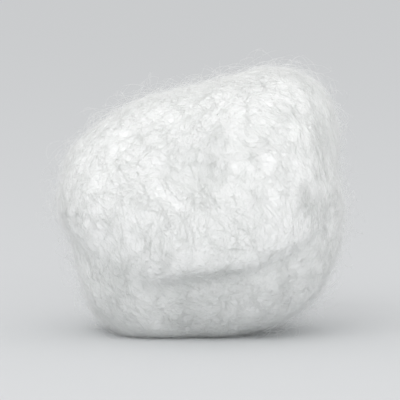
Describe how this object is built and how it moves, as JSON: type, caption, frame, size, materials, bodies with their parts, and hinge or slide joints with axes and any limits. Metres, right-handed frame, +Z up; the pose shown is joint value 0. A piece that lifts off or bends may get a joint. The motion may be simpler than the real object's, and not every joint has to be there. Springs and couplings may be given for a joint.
{
  "type": "cotton ball",
  "caption": "Plump white ball of cotton wool, rolled from one strip of carded web and tucked in at its ends, for dabbing and cleaning.",
  "frame": {"origin": "centre of the bounding box in plan, at the height of the surface that the ball rests on", "axes": "+X along the roll in plan, towards its higher end; -Y the front, with the lapped edge of the web; +Z up"},
  "size_m": [0.0302, 0.0276, 0.0284],
  "materials": {
    "cotton_wool": "matt, fluffy bleached cotton fibre"
  },
  "bodies": {
    "root": {"cotton_ball": "cotton_wool"}
  },
  "joints": []
}
